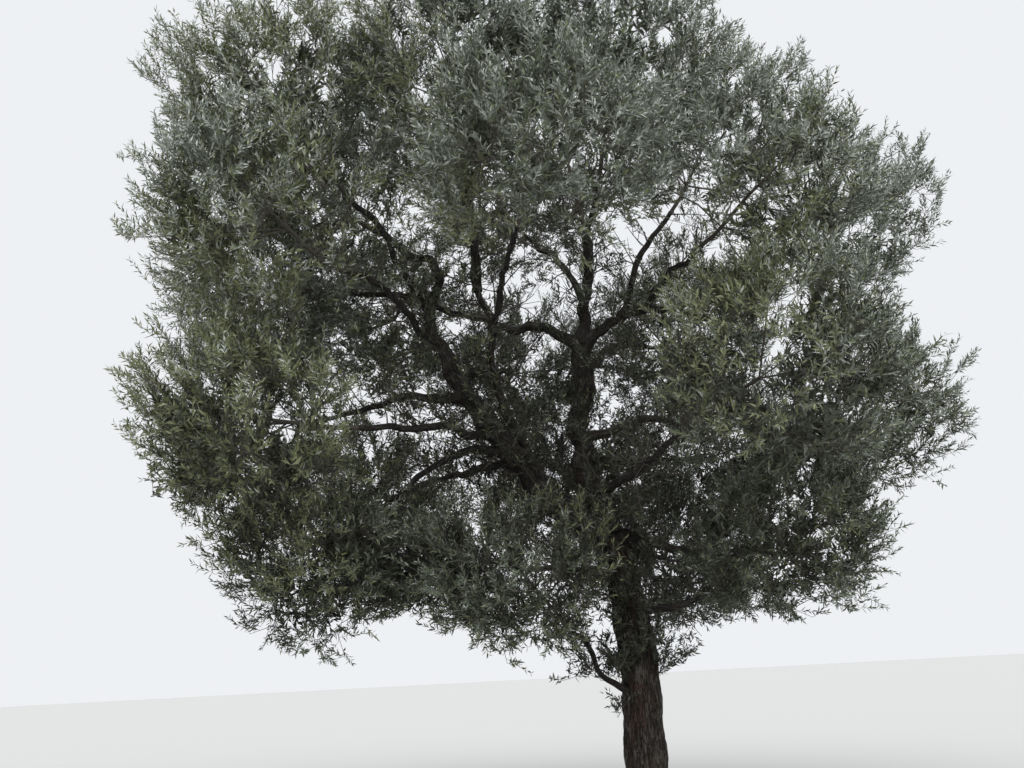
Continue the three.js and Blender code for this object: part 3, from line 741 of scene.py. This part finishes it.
def places_along(limb, spacing, lowest, rng):
    """Places spread at random along a limb: a point, the limb's way, a side from it and its radius there."""
    count = int(limb["curve"].length / spacing)
    for share in (np.arange(count) + rng.uniform(0, 1, count)) / count:
        start = drawn_at(limb, share)
        if start[2] < lowest:
            continue
        way = limb["curve"].tangent(share)
        yield start, way, unit(np.cross(way, rng.normal(0, 1, 3))), radius_at(limb, share)


first_sprout = len(shoot_rows)
rng = np.random.default_rng(900)
for name, limb in limbs.items():
    spacing = SPROUT_SPACING * SPROUT_GAPS.get(name, 1)
    longest = LONGEST_SHORT_SPROUT if name in SHORT_SPROUTS else LONGEST_SPROUT
    for start, way, side, radius in places_along(limb, spacing, LOWEST_SPROUT, rng):
        line = unit(side + way * SPROUT_ALONG + UP * rng.uniform(*SPROUT_RISE))
        root = start + line * radius * SPROUT_ROOT
        tip = root + line * (radius * (1 - SPROUT_ROOT) + rng.uniform(SHORTEST_SPROUT, longest))
        mass = int(np.argmin(depth_in(tip)))
        lean = mixed_way(SPROUT_SHOOT_LEAN, line, UP)
        add_shoots(root, tip, SPROUT_FIRST_SHOOT, SPROUT_SHOOTS, mass, rng, lean, SPROUT_SHOOT_CHANCE,
                   SPROUT_SHOOT_LENGTH)

rng = np.random.default_rng(901)
for name in BOUGH_NAMES:
    for start, way, side, _ in places_along(limbs[name], BARE_TWIG_SPACING, LOWEST_BARE_TWIG, rng):
        line = unit(side + way * BARE_TWIG_ALONG + UP * rng.uniform(*BARE_TWIG_RISE))
        length = rng.uniform(*BARE_TWIG_LENGTH)
        steps = np.linspace(0, 1, len(BARE_TWIG_RADII))[:, None]
        bent = start + (steps * line + bow(steps) * rng.normal(0, BARE_TWIG_BEND, 3)) * length
        wood.append((bent, BARE_TWIG_RADII, FINE_SIDES))
        for share in rng.uniform(*FORK_PLACES, FORKS):
            fork = along_line(bent, share)
            push = unit(mixed_way(FORK_WAY, line, unit(rng.normal(0, 1, 3))))
            wood.append((np.array([fork, fork + push * rng.uniform(*FORK_LENGTH)]), FORK_RADII, FINE_SIDES))

# Shoots: this year's thin green wood, which carries the leaves. A shoot is kept where it lies in the crown
# and clear of the limbs, and a side twig as far as its last shoot. Shoots are thin three-sided cones.
CROWN_EDGE, BOX_ROOM = 0.05, 0.14
# Tufts of the crown's edge: how deep they are, and the waves of noise in a metre that make them, by share.
TUFT_DEPTH, TUFT_WAVES = 0.42, [(1.7, 1), (4.1, 0.5)]
ROOM_AT_LIMBS, SPROUT_ROOM = 0.07, 0.02
ROOM_OVER_LOWEST, SPROUT_DROOP = 0.1, 0.2
LEAST_LEAFY = 0.45
SHOOT_RADIUS, SHOOT_SIDES = 0.0022, 3
TWIG_COLOURS = (0.05, 0.042, 0.034), (0.10, 0.09, 0.075)
SHOOT_COLOURS = (0.07, 0.075, 0.045), (0.12, 0.12, 0.085)


def beyond_reach(points):
    """How far points lie outside the nearest mass's reach, less than nothing inside it."""
    return (np.linalg.norm(from_centres(points), axis=2) - reaches).min(axis=1)


def within_crown(points):
    """Whether points lie in the crown: in any mass's reach, let out or drawn in a little by tufts."""
    tufts = np.zeros(len(points))
    for waves, share in TUFT_WAVES:
        tufts += [share * noise.noise(Vector(p * waves)) for p in points]
    low, high = (np.array(corner) for corner in before)
    in_box = ((points > low - BOX_ROOM) & (points < high + BOX_ROOM)).all(axis=1)
    in_reach = beyond_reach(points) < CROWN_EDGE + TUFT_DEPTH * tufts
    return in_reach & in_box & (points[:, 2] > LOWEST_LEAF + ROOM_OVER_LOWEST)


def clear_of(tree, points, room):
    """Whether points lie further than some room from every limb and stem."""
    found = [tree.find(point) for point in points]
    return np.array([gap >= solid_radius[i] + r for (_, i, gap), r in zip(found, room)])


roots, tips, owners, carriers, places = (np.array(column) for column in zip(*shoot_rows))
sprouts = np.arange(len(tips)) >= first_sprout
limb_tree = KDTree(len(solid_points))
for i, point in enumerate(solid_points):
    limb_tree.insert(point, i)
limb_tree.balance()
kept = within_crown(tips) | (sprouts & (tips[:, 2] > LOWEST_SPROUT - SPROUT_DROOP))
room = np.where(sprouts, SPROUT_ROOM, ROOM_AT_LIMBS)
kept &= clear_of(limb_tree, tips, room) & clear_of(limb_tree, (roots + tips) / 2, room)
leafy_share = np.bincount(carriers, kept) / np.bincount(carriers)
kept &= leafy_share[carriers] > LEAST_LEAFY
last_shoot = np.zeros(len(side_twigs))
np.maximum.at(last_shoot, carriers[kept], places[kept])
for k in np.nonzero(last_shoot)[0]:
    root, tip = side_twigs[k]
    wood.append((np.array([root, root + last_shoot[k] * (tip - root)]), SIDE_TWIG_RADII, FINE_SIDES))
roots, tips, owners, sprouts = roots[kept], tips[kept], owners[kept], sprouts[kept]


def across_ways(way, helper, sides):
    """Directions evenly round each way, square to it."""
    a = unit(np.cross(way, helper))
    b = np.cross(way, a)
    angle = np.arange(sides) * 2 * np.pi / sides
    return np.cos(angle)[None, :, None] * a[:, None] + np.sin(angle)[None, :, None] * b[:, None]


def prisms(lines, radii, sides):
    """Tapering twigs that all have the same number of sides and of points along them."""
    lines, radii = np.array(lines), np.array(radii)
    count, steps = radii.shape
    way = unit(lines[:, -1] - lines[:, 0])
    helper = np.where(np.abs(way[:, 2:3]) < 0.9, UP, np.array([1.0, 0, 0]))
    verts = lines[:, :, None] + radii[:, :, None, None] * across_ways(way, helper, sides)[:, None]
    start = (np.arange(count)[:, None] * steps + np.arange(steps - 1))[..., None] * sides
    k = np.arange(sides)
    after = (k + 1) % sides
    faces = np.stack([start + k, start + after, start + sides + after, start + sides + k], -1).reshape(-1, 4)
    return verts.reshape(-1, 3), faces, np.zeros((len(faces), 2))


def cones(bases, points, radius, sides):
    """Thin cones from their bases to their points."""
    slanting = np.array([0.31, 0.22, 0.93])
    ring = across_ways(unit(points - bases), slanting, sides)
    verts = np.concatenate([bases[:, None] + radius * ring, points[:, None]], axis=1).reshape(-1, 3)
    first = (np.arange(len(bases)) * (sides + 1))[:, None]
    faces = [np.hstack([first + k, first + (k + 1) % sides, first + sides]) for k in range(sides)]
    return verts, np.stack(faces, 1).reshape(-1, 3)


def noise_in_place(nodes, links, scale, detail):
    """Noise that lies still in the object's own space."""
    texture = nodes.new("ShaderNodeTexNoise")
    texture.inputs["Scale"].default_value = scale
    texture.inputs["Detail"].default_value = detail
    place = nodes.new("ShaderNodeTexCoord")
    links.new(place.outputs["Object"], texture.inputs["Vector"])
    return texture.outputs["Fac"]


def twig_material(name, colour, second, rough):
    """Thin bark that varies between two colours along the twigs."""
    material, nodes, links, shader = new_material(name)
    shader.inputs["Roughness"].default_value = rough
    shader.inputs["Specular IOR Level"].default_value = 0.3
    mix = nodes.new("ShaderNodeMix")
    mix.data_type = "RGBA"
    mix.inputs[6].default_value = (*colour, 1)
    mix.inputs[7].default_value = (*second, 1)
    links.new(noise_in_place(nodes, links, 14, 3), mix.inputs["Factor"])
    links.new(mix.outputs[2], shader.inputs["Base Color"])
    return material


twig_wood = twig_material("twig_wood", *TWIG_COLOURS, rough=0.85)
shoot_wood = twig_material("shoot_wood", *SHOOT_COLOURS, rough=0.7)
parts = []
for steps, sides in sorted({(len(radii), sides) for _, radii, sides in wood}):
    alike = [w for w in wood if (len(w[1]), w[2]) == (steps, sides)]
    parts.append(prisms([w[0] for w in alike], [w[1] for w in alike], sides))
verts, faces, _ = joined(parts)
twigs = mesh_object("twigs", verts, faces, [twig_wood])
shoots = mesh_object("shoots", *cones(roots, tips, SHOOT_RADIUS, SHOOT_SIDES), [shoot_wood])
for piece in (twigs, shoots):
    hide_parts(*["foliage_" + name for name in BOUGH_NAMES])
    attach(piece, "root")

# Leaves: small, leathery and lance-shaped, in opposite pairs up each shoot, dark grey-green above and silvery
# beneath. Each is an opaque blade in its own outline, and lighter or darker plain greens are dealt out by
# spray and by painted light: painted shade deep in the crown, low down and at its heart, painted light
# skyward and at the upper right and left, and the silvery ones are also a painted highlight, with a few
# yellow-green ones among them.
OUTER_LEAF = {"pairs": 8, "length": 0.077, "width": 0.0185, "faces": [(0, 1, 3), (0, 3, 2)]}
INNER_LEAF = {"pairs": 7, "length": 0.112, "width": 0.0285, "faces": [(0, 1, 3)]}
SPROUT_LEAF = {"pairs": 7, "length": 0.080, "width": 0.0200, "faces": [(0, 1, 3)]}
# A leaf's corners are its root, its two edges at the widest place and its tip, and outer leaves fold between.
WIDEST_PLACE, FOLD, TIP_DROOP = 0.43, 0.2, 0.05
# Leaves turn out from their shoot by an angle and are shorter, and more in line with it, towards its tip.
FIRST_PAIR, LEAF_ANGLE, ROOT_ANGLE, ANGLE_LOSS = 0.12, math.radians(46), 1.15, 0.5
LEAF_SIZES, ROOT_SIZE, SIZE_LOSS = (0.75, 1.2), 1.1, 0.25
ANGLE_CHANCE, BLADE_CHANCE, FACE_CHANCE = 0.22, 0.2, 0.3
OUTER_DEPTH, SPROUT_DEPTH = 0.34, 0.55
# The first five greens step from painted shade up to painted highlight, dealt by the light painted on each
# leaf.
TONES = {
    "shade": (0.028, 0.030, 0.020),
    "dark": (0.060, 0.067, 0.044),
    "olive": (0.106, 0.126, 0.074),
    "grey_green": (0.155, 0.176, 0.145),
    # Silver: the leaves' silvery undersides and the painted highlight of the best-lit leaves.
    "silver_highlight": (0.32, 0.345, 0.305),
    "yellow_olive": (0.152, 0.168, 0.082),
    "young": (0.20, 0.225, 0.115),
}
OLIVE, GREY_GREEN, YELLOW_OLIVE, YOUNG = 2, 3, 5, 6
# The light at which a leaf turns from each of the first four tones to the next.
TONE_STEPS = [0.10, 0.34, 0.58, 0.86]
FULL_LIGHT, SPRAY_CHANCE, LEAF_CHANCE = 0.74, 0.13, 0.22
DEPTH_SHADE, DARKEST_DEPTH = 0.62, 0.9
SKYWARD_LIGHT = 0.10
LOW_SHADE, LOW_SHADE_TOP, LOW_SHADE_DEPTH = 0.22, 5.9, 2.6
HEART_SHADE, HEART_SHARE, CROWN_HALF_SIZE = 0.4, 0.72, np.array([4.9, 4.4, 4.6])
# Extra light at the upper right and at the left: how much, 1 or -1 for right or left, and where it sets in
# and over what length it grows, across and upwards.
SIDE_LIGHTS = [(0.05, 1, (0, 2.5), (4.8, 1.5)), (0.10, -1, (1.9, 1.6), (3.4, 1.2))]
# Warmer greens come in patches, more of them to the left, and past a level an olive leaf turns yellower.
WARM_PATCHES, PATCH_WAVES, WARM_TO_LEFT, WARM_CHANCE, WARM_LEVEL = 0.6, 0.55, 0.07, 0.25, 0.06
YOUNG_SHARE, YOUNG_LIGHT = 0.03, 0.5
LEAF_PIECES = {
    "leaves_top": ("centre", "middle", "top_front", "top_back"),
    "leaves_top_right": ("top_right", "top_front_right", "right", "high_front_right"),
    "leaves_top_left": ("upper_left", "top_front_left", "left_crossing", "high_front_left"),
    "leaves_high": ("high_front", "high_back_left", "high_back_right", "curled"),
    "leaves_left": ("side_left", "side_front_left", "side_back_left", "lower_left"),
    "leaves_right": ("side_right", "side_front_right", "side_back_right", "right_low"),
    "leaves_low": ("side_back", "low_left", "low_back_right", "slender_left"),
}


def leaf_material(name, colour):
    """A leathery leaf in one plain green, glossier in some places than in others."""
    material, nodes, links, shader = new_material("leaf_" + name)
    shader.inputs["Base Color"].default_value = (*colour, 1)
    shader.inputs["Specular IOR Level"].default_value = 0.45
    rough = nodes.new("ShaderNodeMapRange")
    rough.inputs["To Min"].default_value = 0.4
    rough.inputs["To Max"].default_value = 0.68
    links.new(noise_in_place(nodes, links, 30, 2), rough.inputs["Value"])
    links.new(rough.outputs["Result"], shader.inputs["Roughness"])
    return material


def ramp(value, start, length):
    """From 0 at the start to 1 at a length beyond it."""
    return np.clip((value - start) / length, 0, 1)


leaf_materials = [leaf_material(name, colour) for name, colour in TONES.items()]
rng = np.random.default_rng(77)
x, y, z = tips.T
depth = -beyond_reach(tips)
depth[sprouts] = SPROUT_DEPTH
outer = depth < OUTER_DEPTH
from_heart = np.linalg.norm((tips - HEART) / CROWN_HALF_SIZE, axis=1)
# Painted light for each shoot: full at the crown's edge, painted shade deeper in, low down and at the heart,
# more painted light skyward and at the sides.
lit = FULL_LIGHT - DEPTH_SHADE * ramp(depth, 0, DARKEST_DEPTH) + rng.normal(0, SPRAY_CHANCE, len(tips))
lit += SKYWARD_LIGHT * unit(tips - HEART)[:, 2]
lit -= LOW_SHADE * ramp(-z, -LOW_SHADE_TOP, LOW_SHADE_DEPTH)
lit -= HEART_SHADE * np.clip(HEART_SHARE - from_heart, 0, 1)
for light, side, across, upwards in SIDE_LIGHTS:
    lit += light * ramp(side * x, *across) * ramp(z, *upwards)
patches = np.array([noise.noise(Vector(p * PATCH_WAVES)) for p in tips])
warm = WARM_PATCHES * patches - WARM_TO_LEFT * (x - HEART[0])


def leaf_tones(rows):
    """A tone for one leaf of each shoot, by its light, with warm and young ones dealt in."""
    light = lit[rows] + rng.normal(0, LEAF_CHANCE, len(rows))
    tone = np.digitize(light, TONE_STEPS)
    warmth = warm[rows] + WARM_CHANCE * (rng.uniform(0, 1, len(rows)) - 0.5)
    tone[np.isin(tone, (OLIVE, GREY_GREEN)) & (warmth > WARM_LEVEL)] = YELLOW_OLIVE
    tone[(rng.uniform(0, 1, len(rows)) < YOUNG_SHARE) & (light > YOUNG_LIGHT)] = YOUNG
    return tone


def leaf_arrays(rows, kind):
    """The leaves of some shoots: opposite pairs, each pair a quarter turn on from the last."""
    start, end = roots[rows], tips[rows]
    count = len(rows)
    way = unit(end - start)
    side_a = unit(np.cross(way, unit(rng.normal(0, 1, (count, 3)))))
    side_b = np.cross(way, side_a)
    corners, tones = [], []
    for pair, share in enumerate(np.linspace(FIRST_PAIR, 1, kind["pairs"])):
        for sign in (1, -1):
            side = (side_a if pair % 2 == 0 else side_b) * sign
            turn = LEAF_ANGLE * (ROOT_ANGLE - ANGLE_LOSS * share) + rng.normal(0, ANGLE_CHANCE, count)
            blade = way * np.cos(turn)[:, None] + side * np.sin(turn)[:, None]
            blade = unit(blade + rng.normal(0, BLADE_CHANCE, (count, 3)))
            face = way - blade * (way * blade).sum(1)[:, None] + rng.normal(0, FACE_CHANCE, (count, 3))
            face = unit(face - blade * (face * blade).sum(1)[:, None])
            size = (rng.uniform(*LEAF_SIZES, count) * (ROOT_SIZE - SIZE_LOSS * share))[:, None]
            length = kind["length"] * size
            width = kind["width"] * size
            root = start + share * (end - start)
            middle = root + blade * WIDEST_PLACE * length + face * FOLD * width
            half = np.cross(blade, face) * width / len(kind["faces"])
            tip = root + blade * length - face * TIP_DROOP * length
            corners.append(np.stack([root, middle + half, middle - half, tip], 1))
            tones.append(leaf_tones(rows))
    verts = np.concatenate(corners)
    faces = (np.arange(len(verts)) * 4)[:, None, None] + np.array(kind["faces"])[None]
    verts, faces = verts.reshape(-1, 3), faces.reshape(-1, 3)
    if len(kind["faces"]) == 1:
        verts = verts[faces].reshape(-1, 3)
        faces = np.arange(len(verts)).reshape(-1, 3)
    return verts, faces, np.repeat(np.concatenate(tones), len(kind["faces"]))[:, None]


for name, members in LEAF_PIECES.items():
    here = np.isin(owners, [BOUGH_NAMES.index(member) for member in members])
    verts, faces, tones = joined([
        leaf_arrays(np.nonzero(here & outer)[0], OUTER_LEAF),
        leaf_arrays(np.nonzero(here & ~outer & ~sprouts)[0], INNER_LEAF),
        leaf_arrays(np.nonzero(here & sprouts)[0], SPROUT_LEAF),
    ])
    piece = mesh_object(name, verts, faces, leaf_materials, indices=tones.ravel(), smooth=False)
    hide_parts(*["foliage_" + member for member in members])
    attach(piece, "root")

# Floor, light and camera: a plain pale floor, a soft pale sky with one broad light from above and in front,
# and the photograph's view from eye height, which looks up into the crown and leans a little.
FLOOR_SIZE, FLOOR_COLOUR, FLOOR_ROUGHNESS = 400, (0.34, 0.34, 0.335, 1), 0.9
SKY_COLOUR, SKY_STRENGTH = (0.95, 0.97, 1.0, 1), 0.9
LIGHT_STRENGTH, LIGHT_BREADTH = 4.6, math.radians(80)
LIGHT_TILT, LIGHT_TURN = math.radians(28), math.radians(24)
EYE = (-1.24, -12, 1.6)
PITCH, ROLL = math.radians(15.3), math.radians(3)
SENSOR_WIDTH, FOCAL_PIXELS, PICTURE_WIDTH, FURTHEST_SEEN = 36, 1050, 1024, 500

bpy.ops.mesh.primitive_plane_add(size=FLOOR_SIZE, location=(0, 0, 0))
floor = bpy.context.object
floor.name = "floor"
floor_material, _, _, floor_shader = new_material("floor")
floor_shader.inputs["Base Color"].default_value = FLOOR_COLOUR
floor_shader.inputs["Roughness"].default_value = FLOOR_ROUGHNESS
floor.data.materials.append(floor_material)

sky = bpy.data.worlds.new("sky")
sky.use_nodes = True
sky.node_tree.nodes["Background"].inputs["Color"].default_value = SKY_COLOUR
sky.node_tree.nodes["Background"].inputs["Strength"].default_value = SKY_STRENGTH
bpy.context.scene.world = sky
bpy.context.scene.view_settings.view_transform = "Standard"

soft_light = bpy.data.lights.new("soft_light", "SUN")
soft_light.energy = LIGHT_STRENGTH
soft_light.angle = LIGHT_BREADTH
lamp = bpy.data.objects.new("soft_light", soft_light)
lamp.rotation_euler = (LIGHT_TILT, 0, LIGHT_TURN)
bpy.context.scene.collection.objects.link(lamp)

lens = bpy.data.cameras.new("camera")
lens.sensor_width = SENSOR_WIDTH
lens.lens = SENSOR_WIDTH * FOCAL_PIXELS / PICTURE_WIDTH
lens.clip_end = FURTHEST_SEEN
camera = bpy.data.objects.new("camera", lens)
forward = Vector((0, math.cos(PITCH), math.sin(PITCH)))
level = Vector((1, 0, 0))
upward = level.cross(forward)
right = level * math.cos(ROLL) - upward * math.sin(ROLL)
top = upward * math.cos(ROLL) + level * math.sin(ROLL)
turned = Matrix((right, top, -forward)).transposed().to_4x4()
camera.matrix_world = Matrix.Translation(EYE) @ turned
bpy.context.scene.collection.objects.link(camera)
bpy.context.scene.camera = camera
